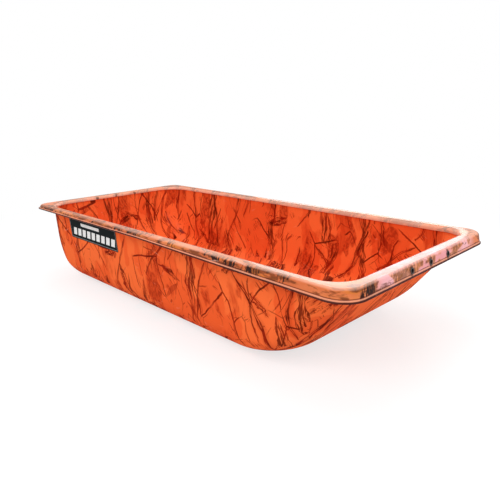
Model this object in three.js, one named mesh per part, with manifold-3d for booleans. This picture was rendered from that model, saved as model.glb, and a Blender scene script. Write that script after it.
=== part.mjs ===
// Ice fishing sled: a one-piece plastic tub, a rim lip clipped over its flange, three tow eyelets
// with their back washers, and a label on each side.
// Millimetres. +X points to the bow, +Y to the left-hand side, +Z up. The runners stand on z = 0.

import * as THREE from 'three';
import { mergeVertices } from 'three/addons/utils/BufferGeometryUtils.js';
import Module from 'manifold-3d';

const wasm = await Module();
wasm.setup();

// Overall size
const SLED_LENGTH = 1372;
const SLED_WIDTH = 635;
const TUB_HEIGHT = 256; // underside of the floor to the top of the rim

// Fits shared by all pieces
const CLEARANCE = 0.3;
const OVERRUN = 6;

// Tub: one thermoformed sheet
const TUB_WALL = 3.5;
const SIDE_DRAFT = THREE.MathUtils.degToRad(3.5);
const STERN_DRAFT = THREE.MathUtils.degToRad(6);
const BOW_RAKE = THREE.MathUtils.degToRad(37.1);
const SIDE_FILLET = 69;
const STERN_FILLET = 175;
const BOW_FILLET = 260;
const FLOOR_STERN_CORNER = 48;
const FLOOR_BOW_CORNER = 103;
const NECK_DROP = 20; // rim top down to where the walls turn upright
const FLANGE_BOW_DROP = 21; // rim top down to the edge of the turned-down flange, at the bow
const FLANGE_STERN_DROP = 9.5; // the same from the taper back to the stern

// Runners: channels pressed down out of the floor
const RUNNER_COUNT = 4;
const RUNNER_PITCH = 104;
const RUNNER_DEPTH = 5;
const RUNNER_WIDTH = 34;
const RUNNER_DRAFT = THREE.MathUtils.degToRad(30);
const RUNNER_RAMP = 60;
const RUNNER_END_RISE = 8;
const RUNNER_STERN_GAP = 6; // start of the flat floor to the stern end of a runner

// Rim lip: a downward-open channel that clips over the flange
const LIP_WALL = 2.5;
const LIP_WIDTH = 36.5;
const LIP_BOW_WIDTH = 42.5; // the crown is wider across the bow
const LIP_BOW_HEIGHT = 28;
const LIP_STERN_HEIGHT = 13.5;
const LIP_TAPER = 690; // bow end back to where the lip and the flange start to deepen
const LIP_BOW_LEG = 15; // rim top down to the edge of the inner leg, at the bow
const LIP_STERN_LEG = 11.5; // the same from the taper back to the stern
const LIP_FACE_DRAFT = THREE.MathUtils.degToRad(11);
const LIP_OUTER_RADIUS = 7;
const LIP_INNER_RADIUS = 10;
const BEAD_WIDTH = 2.5;
const BEAD_HEIGHT = 3;
const RIM_STERN_CORNER = 48; // corner radii at the rim's outermost edge
const RIM_BOW_CORNER = 60;
const MOUTH_STERN_CORNER = 88; // corner radii at the lip's inner edge
const MOUTH_BOW_CORNER = 60;

// Tow eyelets through the bow face of the lip and the flange behind it
const TOW_NAMES = ['right', 'centre', 'left'];
const TOW_PITCH = 84;
const TOW_DROP = 13; // rim top down to the eyelet's centre
const EYELET_BORE = 9.2;
const EYELET_BARREL = 11.2;
const EYELET_HEAD = 14;
const EYELET_HEAD_THICKNESS = 1.5;
const EYELET_TAIL = 1; // barrel left standing behind the washer
const WASHER_DIAMETER = 15;
const WASHER_THICKNESS = 1.2;

// Side labels
const LABEL_LENGTH = 305;
const LABEL_HEIGHT = 69;
const LABEL_THICKNESS = 0.5;
const LABEL_CORNER = 3;
const LABEL_DROP = 23.5; // rim top down to the label's upper edge
const LABEL_STERN_GAP = 216; // stern end of the rim to the label's stern edge

// Facets
const CORNER_STEPS = 8;
const FILLET_STEPS = 16;
const CROWN_STEPS = 5;
const ROUND_STEPS = 24;

// Heights and places that follow from the sizes above
const QUARTER_TURN = Math.PI / 2;
const RIM_TOP = RUNNER_DEPTH + TUB_HEIGHT;
const NECK_HEIGHT = TUB_HEIGHT - NECK_DROP;
const FLANGE_OFFSET = LIP_WALL + CLEARANCE;
const TUB_OFFSET = FLANGE_OFFSET + TUB_WALL;
const NECK_INSET = LIP_WIDTH - TUB_OFFSET;
const NECK_BOW_INSET = LIP_BOW_WIDTH - TUB_OFFSET;
const BEAD_TOP = LIP_BOW_HEIGHT - BEAD_HEIGHT;
const BEAD_STERN_TOP = LIP_STERN_HEIGHT - BEAD_HEIGHT;
const CROWN_START = faceInset(0, LIP_OUTER_RADIUS) + LIP_OUTER_RADIUS / Math.cos(LIP_FACE_DRAFT);
const CROWN_END = LIP_WIDTH - LIP_INNER_RADIUS;

// Drops at the bow and at the stern
const FLANGE_FEET = [FLANGE_BOW_DROP, FLANGE_STERN_DROP];
const NECK_FEET = [NECK_DROP, NECK_DROP];
const LEG_FEET = [LIP_BOW_LEG, LIP_STERN_LEG];

const SIDE_WALL = { neck: NECK_INSET, draft: SIDE_DRAFT, fillet: SIDE_FILLET };
const STERN_WALL = { neck: NECK_INSET, draft: STERN_DRAFT, fillet: STERN_FILLET };
const BOW_WALL = { neck: NECK_BOW_INSET, draft: BOW_RAKE, fillet: BOW_FILLET };

const COLOURS = {
  tub: new THREE.Color(0xee5f2b),
  lip: new THREE.Color(0xf3a182),
  eyelet: new THREE.Color(0x2b2624),
  label: new THREE.Color(0x23242a),
};

// Solids and meshes

// A solid from a closed surface, once the vertices that its faces share are merged.
function toSolid(geometry) {
  const bare = geometry.clone();
  bare.deleteAttribute('normal');
  bare.deleteAttribute('uv');
  const merged = mergeVertices(bare);
  const mesh = new wasm.Mesh({
    numProp: 3,
    vertProperties: Float32Array.from(merged.attributes.position.array),
    triVerts: Uint32Array.from(merged.index.array),
  });
  return new wasm.Manifold(mesh);
}

function toGeometry(solid) {
  const mesh = solid.getMesh();
  const geometry = new THREE.BufferGeometry();
  geometry.setAttribute('position', new THREE.BufferAttribute(mesh.vertProperties, mesh.numProp));
  geometry.setIndex(new THREE.BufferAttribute(mesh.triVerts, 1));
  return geometry;
}

function addAll(solid, tools) {
  return tools.reduce((result, tool) => result.add(tool), solid);
}

function cutAll(solid, tools) {
  return tools.reduce((result, tool) => result.subtract(tool), solid);
}

function namedMesh(name, geometry, material) {
  const mesh = new THREE.Mesh(geometry, material);
  mesh.name = name;
  return mesh;
}

// Skins a stack of loops that all have the same number of points. A ring joins its last loop to its
// first, and a stack is closed by a flat cap at each end, fanned out from the middle of a corner.
function loft(loops, isRing) {
  const count = loops[0].length;
  const positions = loops.flat().flatMap((point) => [point.x, point.y, point.z]);
  const indices = [];
  const rows = isRing ? loops.length : loops.length - 1;
  for (let row = 0; row < rows; row += 1) {
    const lower = row * count;
    const upper = ((row + 1) % loops.length) * count;
    for (let step = 0; step < count; step += 1) {
      const next = (step + 1) % count;
      indices.push(lower + step, lower + next, upper + next);
      indices.push(lower + step, upper + next, upper + step);
    }
  }
  if (!isRing) {
    const last = (loops.length - 1) * count;
    const hub = CORNER_STEPS / 2;
    for (let step = 1; step < count - 1; step += 1) {
      const a = (hub + step) % count;
      const b = (hub + step + 1) % count;
      indices.push(hub, b, a);
      indices.push(last + hub, last + a, last + b);
    }
  }
  const geometry = new THREE.BufferGeometry();
  geometry.setAttribute('position', new THREE.Float32BufferAttribute(positions, 3));
  geometry.setIndex(indices);
  return geometry;
}

// Outlines

// A quarter arc of a level loop. The first corner's turn is zero, and each next one's is one more.
function cornerArc(x, y, radius, turn, height) {
  return Array.from({ length: CORNER_STEPS + 1 }, (_, step) => {
    const angle = (turn - 1 + step / CORNER_STEPS) * QUARTER_TURN;
    return new THREE.Vector3(x + radius * Math.cos(angle), y + radius * Math.sin(angle), height);
  });
}

// A level rectangle with round corners, seen from above: counter-clockwise from the bow's right corner.
// Each long side has one point more, where the rim starts to deepen.
function levelLoop({ stern, bow, half, sternCorner, bowCorner, height }) {
  const taper = SLED_LENGTH / 2 - LIP_TAPER;
  return [
    ...cornerArc(bow - bowCorner, bowCorner - half, bowCorner, 0, height),
    ...cornerArc(bow - bowCorner, half - bowCorner, bowCorner, 1, height),
    new THREE.Vector3(taper, half, height),
    ...cornerArc(stern + sternCorner, half - sternCorner, sternCorner, 2, height),
    ...cornerArc(stern + sternCorner, sternCorner - half, sternCorner, 3, height),
    new THREE.Vector3(taper, -half, height),
  ];
}

// How far over the flat crown an inset from the rim's outermost edge lies. The outer leg keeps its
// distance from that edge and the inner leg from the mouth, and the crown takes up the difference.
function crownShare(inset) {
  return THREE.MathUtils.clamp((inset - CROWN_START) / (CROWN_END - CROWN_START), 0, 1);
}

// Corner radius at an inset from the rim's outermost edge.
function rimCorner(edgeCorner, mouthCorner, inset) {
  return edgeCorner - inset + crownShare(inset) * (mouthCorner + LIP_WIDTH - edgeCorner);
}

// A level loop round the rim, a given inset from its outermost edge and drop from its top.
function rimLevelLoop(inset, drop) {
  const widening = crownShare(inset) * (LIP_BOW_WIDTH - LIP_WIDTH);
  return levelLoop({
    stern: inset - SLED_LENGTH / 2,
    bow: SLED_LENGTH / 2 - inset - widening,
    half: SLED_WIDTH / 2 - inset,
    sternCorner: rimCorner(RIM_STERN_CORNER, MOUTH_STERN_CORNER, inset),
    bowCorner: rimCorner(RIM_BOW_CORNER, MOUTH_BOW_CORNER, inset),
    height: RIM_TOP - drop,
  });
}

// A loop round the rim whose inset and drop change from the bow back to the taper, and stay from there
// to the stern. Without values of its own the stern keeps the bow's, and the loop is level.
function rimLoop([inset, drop, sternInset = inset, sternDrop = drop]) {
  const sternLoop = rimLevelLoop(sternInset, sternDrop);
  return rimLevelLoop(inset, drop).map((point, index) => {
    const share = 1 - (SLED_LENGTH / 2 - point.x) / LIP_TAPER;
    return sternLoop[index].lerp(point, Math.max(share, 0));
  });
}

// Inset of the lip's sloping outer face, moved in by an offset, at a drop below the rim's top.
function faceInset(offset, drop) {
  const run = (BEAD_TOP - drop) * Math.tan(LIP_FACE_DRAFT);
  return BEAD_WIDTH + run + offset / Math.cos(LIP_FACE_DRAFT);
}

// The rim's cross-section as inset and drop pairs, moved in by an offset: from the foot of the outer
// leg, up the sloping face, over the crown and down the inner leg. Each foot has a drop at the bow and
// one at the stern.
function rimProfile(offset, [outerBow, outerStern], [innerBow, innerStern]) {
  const outerRadius = LIP_OUTER_RADIUS - offset;
  const innerRadius = LIP_INNER_RADIUS - offset;
  const points = [[faceInset(offset, outerBow), outerBow, faceInset(offset, outerStern), outerStern]];
  for (let step = 0; step <= CROWN_STEPS; step += 1) {
    const angle = THREE.MathUtils.lerp(LIP_FACE_DRAFT, QUARTER_TURN, step / CROWN_STEPS);
    points.push([
      CROWN_START - outerRadius * Math.cos(angle),
      LIP_OUTER_RADIUS - outerRadius * Math.sin(angle),
    ]);
  }
  for (let step = 0; step <= CROWN_STEPS; step += 1) {
    const angle = QUARTER_TURN * (step / CROWN_STEPS);
    points.push([
      CROWN_END + innerRadius * Math.sin(angle),
      LIP_INNER_RADIUS - innerRadius * Math.cos(angle),
    ]);
  }
  points.push([LIP_WIDTH - offset, innerBow, LIP_WIDTH - offset, innerStern]);
  return points;
}

// Height above the floor's underside where a wall's fillet ends and its straight part starts.
function tangentHeight({ draft, fillet }) {
  return fillet * (1 - Math.sin(draft));
}

// Inset of a tub wall at a height above the floor's underside: a straight drafted wall below the neck
// that runs into the floor through a fillet. The offset moves the surface into the tub.
function wallInset(wall, height, offset) {
  const { neck, draft, fillet } = wall;
  const straight = NECK_HEIGHT - tangentHeight(wall);
  const centre = neck + straight * Math.tan(draft) + fillet * Math.cos(draft);
  const radius = fillet - offset;
  if (height < fillet - radius * Math.sin(draft)) {
    const rise = fillet - height;
    return centre - Math.sqrt(radius * radius - rise * rise);
  }
  return neck + (NECK_HEIGHT - height) * Math.tan(draft) + offset / Math.cos(draft);
}

function wallLoop(height, offset) {
  const share = height / NECK_HEIGHT;
  const sternNeck = rimCorner(RIM_STERN_CORNER, MOUTH_STERN_CORNER, NECK_INSET);
  const bowNeck = rimCorner(RIM_BOW_CORNER, MOUTH_BOW_CORNER, NECK_INSET);
  return levelLoop({
    stern: wallInset(STERN_WALL, height, offset) - SLED_LENGTH / 2,
    bow: SLED_LENGTH / 2 - wallInset(BOW_WALL, height, offset),
    half: SLED_WIDTH / 2 - wallInset(SIDE_WALL, height, offset),
    sternCorner: THREE.MathUtils.lerp(FLOOR_STERN_CORNER, sternNeck, share) - offset,
    bowCorner: THREE.MathUtils.lerp(FLOOR_BOW_CORNER, bowNeck, share) - offset,
    height: RUNNER_DEPTH + height,
  });
}

// Loops from the floor up to the neck. They lie closer together near the floor, where the fillets turn.
function wallLoops(offset) {
  const tangentHeights = [SIDE_WALL, STERN_WALL, BOW_WALL].map(tangentHeight);
  const filletTop = Math.max(...tangentHeights);
  const loops = [];
  for (let step = 0; step <= FILLET_STEPS; step += 1) {
    const share = (step / FILLET_STEPS) ** 2;
    loops.push(wallLoop(THREE.MathUtils.lerp(offset, filletTop, share), offset));
  }
  loops.push(wallLoop(NECK_HEIGHT, offset));
  return loops;
}

// Tub

// The whole outside: floor, walls, the flange's underside and edge, and its top up to the crown.
function tubOutside() {
  const under = rimProfile(TUB_OFFSET, FLANGE_FEET, NECK_FEET).reverse();
  const over = rimProfile(FLANGE_OFFSET, FLANGE_FEET, NECK_FEET);
  const crownStart = CROWN_STEPS + 2;
  const flange = [...under.slice(1), ...over.slice(0, crownStart)];
  return toSolid(loft([...wallLoops(0), ...flange.map(rimLoop)], false));
}

// The hollow: floor, walls, neck and the round over into the flange, and on past its top.
function tubInside() {
  const miter = TUB_WALL * Math.tan(BOW_RAKE / 2);
  const neckFeet = NECK_FEET.map((drop) => drop - miter);
  const neck = rimProfile(FLANGE_OFFSET, FLANGE_FEET, neckFeet).reverse();
  const mouth = neck.slice(0, CROWN_STEPS + 2);
  const [mouthInset, mouthDrop] = mouth.at(-1);
  mouth.push([mouthInset, mouthDrop - OVERRUN]);
  return toSolid(loft([...wallLoops(TUB_WALL), ...mouth.map(rimLoop)], false));
}

// A runner's cross-section, open upwards: x across the sled, y up from the floor's underside.
function runnerSection(offset) {
  const lowest = offset - RUNNER_DEPTH;
  const highest = TUB_WALL + RUNNER_END_RISE + OVERRUN;
  const halfAt = (y) => RUNNER_WIDTH / 2 + (y + RUNNER_DEPTH) * Math.tan(RUNNER_DRAFT)
    - offset / Math.cos(RUNNER_DRAFT);
  return new THREE.Shape([
    new THREE.Vector2(-halfAt(lowest), lowest),
    new THREE.Vector2(halfAt(lowest), lowest),
    new THREE.Vector2(halfAt(highest), highest),
    new THREE.Vector2(-halfAt(highest), highest),
  ]);
}

// One solid for each runner. Its ends ramp up into the floor where the fillets begin.
function runners(offset) {
  const flatStern = wallInset(STERN_WALL, 0, 0) - SLED_LENGTH / 2;
  const flatBow = SLED_LENGTH / 2 - wallInset(BOW_WALL, 0, 0);
  const start = flatStern + RUNNER_STERN_GAP + RUNNER_RAMP;
  const geometry = new THREE.ExtrudeGeometry(runnerSection(offset), {
    depth: flatBow - RUNNER_RAMP - start,
    bevelThickness: RUNNER_RAMP,
    bevelSize: RUNNER_END_RISE,
    bevelOffset: -RUNNER_END_RISE,
    bevelSegments: 1,
  });
  const acrossUpAhead = new THREE.Matrix4().makeBasis(
    new THREE.Vector3(0, 1, 0),
    new THREE.Vector3(0, 0, 1),
    new THREE.Vector3(1, 0, 0),
  );
  geometry.applyMatrix4(acrossUpAhead);
  return Array.from({ length: RUNNER_COUNT }, (_, index) => {
    const across = (index - (RUNNER_COUNT - 1) / 2) * RUNNER_PITCH;
    return toSolid(geometry.clone().translate(start, across, RUNNER_DEPTH));
  });
}

function makeTub() {
  const outside = addAll(tubOutside(), runners(0));
  const inside = addAll(tubInside(), runners(TUB_WALL));
  const tub = cutAll(outside.subtract(inside), towHoles());
  const material = new THREE.MeshStandardMaterial({ color: COLOURS.tub, roughness: 0.42, metalness: 0 });
  return namedMesh('hull_tub', toGeometry(tub), material);
}

// Rim lip

function makeLip() {
  const bead = [
    [0, LIP_BOW_HEIGHT, 0, LIP_STERN_HEIGHT],
    [0, BEAD_TOP, 0, BEAD_STERN_TOP],
  ];
  const outside = rimProfile(0, [BEAD_TOP, BEAD_STERN_TOP], LEG_FEET);
  const inside = rimProfile(LIP_WALL, [LIP_BOW_HEIGHT, LIP_STERN_HEIGHT], LEG_FEET).reverse();
  const ring = loft([...bead, ...outside, ...inside].map(rimLoop), true);
  const lip = cutAll(toSolid(ring), towHoles());
  const material = new THREE.MeshStandardMaterial({ color: COLOURS.lip, roughness: 0.3, metalness: 0 });
  return namedMesh('rim_lip', toGeometry(lip), material);
}

// Tow eyelets

// Turns a piece made round the Y axis so that it points straight out of the bow face.
function turnToFace(object) {
  const outward = new THREE.Vector3(Math.cos(LIP_FACE_DRAFT), 0, Math.sin(LIP_FACE_DRAFT));
  object.quaternion.setFromUnitVectors(new THREE.Vector3(0, 1, 0), outward);
}

// A point of the bow face where an eyelet's axis meets it.
function towPlace(index) {
  const across = (index - (TOW_NAMES.length - 1) / 2) * TOW_PITCH;
  return new THREE.Vector3(SLED_LENGTH / 2 - faceInset(0, TOW_DROP), across, RIM_TOP - TOW_DROP);
}

function towHoles() {
  const radius = EYELET_BARREL / 2 + CLEARANCE;
  const length = 2 * (TUB_OFFSET + OVERRUN);
  return TOW_NAMES.map((_, index) => {
    const drill = new THREE.Object3D();
    turnToFace(drill);
    drill.position.copy(towPlace(index));
    drill.updateMatrix();
    const geometry = new THREE.CylinderGeometry(radius, radius, length, ROUND_STEPS);
    return toSolid(geometry.applyMatrix4(drill.matrix));
  });
}

// A round piece with a bore, from radius and height pairs that close on themselves.
function turned(profile) {
  const points = profile.map(([radius, height]) => new THREE.Vector2(radius, height));
  return new THREE.LatheGeometry([...points, points[0]], ROUND_STEPS);
}

// Heights are along the eyelet's axis, from the bow face at zero.
function eyeletGeometry() {
  const bore = EYELET_BORE / 2;
  const barrel = EYELET_BARREL / 2;
  const head = EYELET_HEAD / 2;
  const headEdge = CLEARANCE + EYELET_HEAD_THICKNESS / 2;
  const front = CLEARANCE + EYELET_HEAD_THICKNESS;
  const back = -(TUB_OFFSET + CLEARANCE + WASHER_THICKNESS + EYELET_TAIL);
  return turned([
    [bore, back],
    [barrel, back],
    [barrel, CLEARANCE],
    [head, CLEARANCE],
    [head, headEdge],
    [head - (front - headEdge), front],
    [bore, front],
  ]);
}

function washerGeometry() {
  const hole = EYELET_BARREL / 2 + CLEARANCE;
  const rim = WASHER_DIAMETER / 2;
  const front = -(TUB_OFFSET + CLEARANCE);
  const back = front - WASHER_THICKNESS;
  return turned([
    [hole, back],
    [rim, back],
    [rim, front],
    [hole, front],
  ]);
}

function makeTowEyelets() {
  const group = new THREE.Group();
  const paint = { color: COLOURS.eyelet, roughness: 0.5, metalness: 0.6 };
  TOW_NAMES.forEach((side, index) => {
    const material = new THREE.MeshStandardMaterial(paint);
    const eyelet = new THREE.Group();
    eyelet.add(namedMesh(`tow_eyelet_${side}`, eyeletGeometry(), material));
    eyelet.add(namedMesh(`tow_eyelet_washer_${side}`, washerGeometry(), material.clone()));
    turnToFace(eyelet);
    eyelet.position.copy(towPlace(index));
    group.add(eyelet);
  });
  return group;
}

// Side labels

function labelShape() {
  const shape = new THREE.Shape();
  const x = LABEL_LENGTH / 2 - LABEL_CORNER;
  const y = LABEL_HEIGHT / 2 - LABEL_CORNER;
  shape.absarc(x, -y, LABEL_CORNER, -QUARTER_TURN, 0);
  shape.absarc(x, y, LABEL_CORNER, 0, QUARTER_TURN);
  shape.absarc(-x, y, LABEL_CORNER, QUARTER_TURN, 2 * QUARTER_TURN);
  shape.absarc(-x, -y, LABEL_CORNER, 2 * QUARTER_TURN, 3 * QUARTER_TURN);
  return shape;
}

// The side is +1 on the left of the sled and -1 on its right.
function makeLabel(name, side) {
  const options = { depth: LABEL_THICKNESS, bevelEnabled: false, curveSegments: 2 };
  const geometry = new THREE.ExtrudeGeometry(labelShape(), options);
  const film = { color: COLOURS.label, roughness: 0.45, metalness: 0 };
  const material = new THREE.MeshStandardMaterial(film);
  const label = namedMesh(name, geometry, material);

  const along = new THREE.Vector3(-side, 0, 0);
  const upTheWall = new THREE.Vector3(0, side * Math.sin(SIDE_DRAFT), Math.cos(SIDE_DRAFT));
  const outward = new THREE.Vector3().crossVectors(along, upTheWall);
  label.setRotationFromMatrix(new THREE.Matrix4().makeBasis(along, upTheWall, outward));

  const middle = TUB_HEIGHT - LABEL_DROP - (LABEL_HEIGHT / 2) * Math.cos(SIDE_DRAFT);
  label.position.set(
    LABEL_STERN_GAP + LABEL_LENGTH / 2 - SLED_LENGTH / 2,
    side * (SLED_WIDTH / 2 - wallInset(SIDE_WALL, middle, 0)),
    RUNNER_DEPTH + middle,
  );
  label.position.addScaledVector(outward, CLEARANCE);
  return label;
}

const sled = new THREE.Group();
sled.add(makeTub());
sled.add(makeLip());
sled.add(makeTowEyelets());
sled.add(makeLabel('side_label_right', -1));
sled.add(makeLabel('side_label_left', 1));

export default sled;
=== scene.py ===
"""Ice fishing sled: looks, lights and camera. Lengths in the shape code are millimetres, as in the
model's source, and are turned to metres when a mesh is made."""

import math

import bmesh
import bpy
from mathutils import Matrix, Vector
from mathutils.geometry import delaunay_2d_cdt
from mathutils.kdtree import KDTree


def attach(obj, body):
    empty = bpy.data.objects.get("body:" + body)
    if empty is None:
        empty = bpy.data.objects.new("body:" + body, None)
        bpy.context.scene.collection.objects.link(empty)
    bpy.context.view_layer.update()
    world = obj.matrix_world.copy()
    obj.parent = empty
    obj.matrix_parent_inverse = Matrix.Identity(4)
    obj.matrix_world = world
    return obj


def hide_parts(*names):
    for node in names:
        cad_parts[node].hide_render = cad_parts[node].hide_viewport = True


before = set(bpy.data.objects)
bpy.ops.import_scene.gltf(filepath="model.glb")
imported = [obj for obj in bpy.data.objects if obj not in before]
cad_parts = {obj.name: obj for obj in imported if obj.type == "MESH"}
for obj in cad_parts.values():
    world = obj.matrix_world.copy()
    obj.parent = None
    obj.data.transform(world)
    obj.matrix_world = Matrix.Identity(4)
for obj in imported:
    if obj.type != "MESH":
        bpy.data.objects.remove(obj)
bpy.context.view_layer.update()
scene = bpy.context.scene

MM = 0.001

# Camera: the photograph's place, direction and lens, for a square picture
CAMERA_PLACE = (1.13873, -0.99951, 0.57537)
CAMERA_RIGHT = (0.70288, 0.71101, -0.02046)
CAMERA_UP = (-0.18074, 0.20635, 0.96164)
CAMERA_BACK = (0.68796, -0.67222, 0.27355)
CAMERA_LENS = 35.40
CAMERA_SENSOR = 36

# The sled's sizes, as in the model's source
SLED_LENGTH = 1372
SLED_WIDTH = 635
TUB_HEIGHT = 256
CLEARANCE = 0.3
TUB_WALL = 3.5
SIDE_DRAFT = math.radians(3.5)
STERN_DRAFT = math.radians(6)
BOW_RAKE = math.radians(37.1)
SIDE_FILLET = 69
STERN_FILLET = 175
BOW_FILLET = 260
FLOOR_STERN_CORNER = 48
FLOOR_BOW_CORNER = 103
NECK_DROP = 20
FLANGE_BOW_DROP = 21
FLANGE_STERN_DROP = 9.5
RUNNER_COUNT = 4
RUNNER_PITCH = 104
RUNNER_DEPTH = 5
LIP_WALL = 2.5
LIP_WIDTH = 36.5
LIP_BOW_WIDTH = 42.5
LIP_BOW_HEIGHT = 28
LIP_STERN_HEIGHT = 13.5
LIP_TAPER = 690
LIP_BOW_LEG = 15
LIP_STERN_LEG = 11.5
LIP_FACE_DRAFT = math.radians(11)
LIP_OUTER_RADIUS = 7
LIP_INNER_RADIUS = 10
BEAD_WIDTH = 2.5
BEAD_HEIGHT = 3
RIM_STERN_CORNER = 48
RIM_BOW_CORNER = 60
MOUTH_STERN_CORNER = 88
MOUTH_BOW_CORNER = 60
TOW_NAMES = ("right", "centre", "left")
TOW_PITCH = 84
TOW_DROP = 13
EYELET_BORE = 9.2
EYELET_BARREL = 11.2
EYELET_HEAD = 14
EYELET_HEAD_THICKNESS = 1.5
EYELET_TAIL = 1
WASHER_DIAMETER = 15
WASHER_THICKNESS = 1.2
LABEL_LENGTH = 305
LABEL_HEIGHT = 69
LABEL_DROP = 23.5
LABEL_STERN_GAP = 216

RIM_TOP = RUNNER_DEPTH + TUB_HEIGHT
NECK_HEIGHT = TUB_HEIGHT - NECK_DROP
FLANGE_OFFSET = LIP_WALL + CLEARANCE
TUB_OFFSET = FLANGE_OFFSET + TUB_WALL
NECK_INSET = LIP_WIDTH - TUB_OFFSET
NECK_BOW_INSET = LIP_BOW_WIDTH - TUB_OFFSET
BEAD_TOP = LIP_BOW_HEIGHT - BEAD_HEIGHT

SIDE_WALL = (NECK_INSET, SIDE_DRAFT, SIDE_FILLET)
STERN_WALL = (NECK_INSET, STERN_DRAFT, STERN_FILLET)
BOW_WALL = (NECK_BOW_INSET, BOW_RAKE, BOW_FILLET)

# Facets of the fine meshes
CORNER_STEPS = 14
SIDE_STEPS = 48
END_STEPS = 22
FILLET_STEPS = 22
WALL_STEPS = 7
ARC_STEPS = 10
ROUND_STEPS = 56
EDGE_STEPS = 4
SHARP_ANGLE = math.radians(50)

# Drops of the wall's two highest loops below the neck
WALL_TOP_DROP = 6
NECK_LOOP_DROP = 2

# Rounding of small edges, and the largest share of its legs that a rounded edge takes up
FLANGE_EDGE_DROP = 0.5
FLANGE_EDGE_SHARE = 0.15
BEAD_RADII = (1.3, 1.2)
LIP_LEG_RADIUS = 1.1
LIP_INSIDE_RADIUS = 1.0
EYELET_RADII = (0.3, 0.4, 0, 0.4, 1.4, 1.0)
WASHER_RADII = (0.3, 0.35, 0.35, 0.3)
EDGE_REACH = 0.48

# Runner channels, rounded as a formed sheet is: half widths across and distances from the ends
CHANNEL_INNER = 15.5
CHANNEL_OUTER = 21.4
CHANNEL_STERN_GAP = 6
RAMP_START = 18
RAMP_END = 64

# The floor's grid lines: over the ramps and between them, and across from the middle of a runner, of
# the gap between two and of the floor
RAMP_LINES = 17
RAMP_LINE_GAP = 5
MIDDLE_LINES = 40
CHANNEL_LINES = (8, 14.5, 15.7, 17, 18.4, 19.8, 21.1, 22.4)
BETWEEN_LINES = (-15, 0, 15)
OUTER_LINES = (190, 203)
FLOOR_EDGE_GAP = 5

# Shifts in metres that give each side, end, floor and skin its own part of the print
HALF_SHIFT = 4
SKIN_SHIFT = 9
END_SHIFT = 20
FLOOR_SHIFT = 40

# Where the walls' print gives way to the floor's, as shares of a height above the floor
BORDER_HEIGHT = 60
WALL_BORDER = (0.12, 1.0)
BOW_BORDER = (0.1, 1.15)


# Small helpers

def lerp(a, b, share):
    return a + (b - a) * share


def smooth(low, high, value):
    share = min(max((value - low) / (high - low), 0), 1)
    return share * share * (3 - 2 * share)


def colour(text):
    """A written colour as linear red, green, blue and alpha."""
    parts = [int(text[at:at + 2], 16) / 255 for at in (1, 3, 5)]
    linear = [c / 12.92 if c <= 0.04045 else ((c + 0.055) / 1.055) ** 2.4 for c in parts]
    return (*linear, 1.0)


def linked(name, data):
    """An object in the scene that shows the data."""
    obj = bpy.data.objects.new(name, data)
    scene.collection.objects.link(obj)
    return obj


def new_object(name, points, faces):
    """A smooth mesh object from points in millimetres."""
    mesh = bpy.data.meshes.new(name)
    mesh.from_pydata([Vector(p) * MM for p in points], [], faces)
    mesh.shade_smooth()
    return linked(name, mesh)


def store(obj, points, layers):
    """Keeps vectors on the mesh for the material to read. The layers hold a vector for each of the
    points, in millimetres, and a vertex takes the values of the point nearest to it."""
    tree = KDTree(len(points))
    for number, point in enumerate(points):
        tree.insert(Vector(point) * MM, number)
    tree.balance()
    nearest = [tree.find(vertex.co)[1] for vertex in obj.data.vertices]
    for name, values in layers.items():
        layer = obj.data.attributes.new(name, "FLOAT_VECTOR", "POINT")
        layer.data.foreach_set("vector", [part for number in nearest for part in values[number]])


# Outlines

def level_loop(stern, bow, half, stern_corner, bow_corner, height):
    """A level rectangle with round corners, counter-clockwise from the bow's right corner. Every loop
    has the same number of points. Each comes with its tag: place along the side, place along the end,
    and the share of the end in it, from 0 on a side to 1 on an end."""
    corners = (
        (bow - bow_corner, bow_corner - half, bow_corner),
        (bow - bow_corner, half - bow_corner, bow_corner),
        (stern + stern_corner, half - stern_corner, stern_corner),
        (stern + stern_corner, stern_corner - half, stern_corner),
    )
    points, tags = [], []
    for number, (x, y, radius) in enumerate(corners):
        outward = 1 if number < 2 else -1
        leftward = 1 if number in (1, 2) else -1
        for step in range(CORNER_STEPS + 1):
            turn = step / CORNER_STEPS
            angle = (number - 1 + turn) * math.pi / 2
            points.append((x + radius * math.cos(angle), y + radius * math.sin(angle), height))
            end_share = turn if number in (0, 2) else 1 - turn
            arc = radius * math.pi / 2
            tags.append((x + outward * arc * end_share, y + leftward * arc * (1 - end_share), end_share))
        following = corners[(number + 1) % 4]
        is_end = number in (0, 2)
        count = END_STEPS if is_end else SIDE_STEPS
        last = points[-1]
        angle = number * math.pi / 2
        target = (
            following[0] + following[2] * math.cos(angle),
            following[1] + following[2] * math.sin(angle),
        )
        for step in range(1, count):
            px = lerp(last[0], target[0], step / count)
            py = lerp(last[1], target[1], step / count)
            points.append((px, py, height))
            if is_end:
                tags.append((px, py, 1))
            else:
                tags.append((px, leftward * half, 0))
    return points, tags


def face_inset(offset, drop):
    """Inset of the lip's sloping outer face, moved in by an offset, at a drop below the rim's top."""
    run = (BEAD_TOP - drop) * math.tan(LIP_FACE_DRAFT)
    return BEAD_WIDTH + run + offset / math.cos(LIP_FACE_DRAFT)


# Insets at which the flat top of the rim's crown starts and ends
CROWN_START = face_inset(0, LIP_OUTER_RADIUS) + LIP_OUTER_RADIUS / math.cos(LIP_FACE_DRAFT)
CROWN_END = LIP_WIDTH - LIP_INNER_RADIUS


def crown_share(inset):
    """How far over the flat crown an inset from the rim's outermost edge lies."""
    return min(max((inset - CROWN_START) / (CROWN_END - CROWN_START), 0), 1)


def rim_corner(edge_corner, mouth_corner, inset):
    """Corner radius at an inset from the rim's outermost edge. The flat crown takes up the difference
    between the corners of that edge and those of the mouth."""
    return edge_corner - inset + crown_share(inset) * (mouth_corner + LIP_WIDTH - edge_corner)


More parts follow.
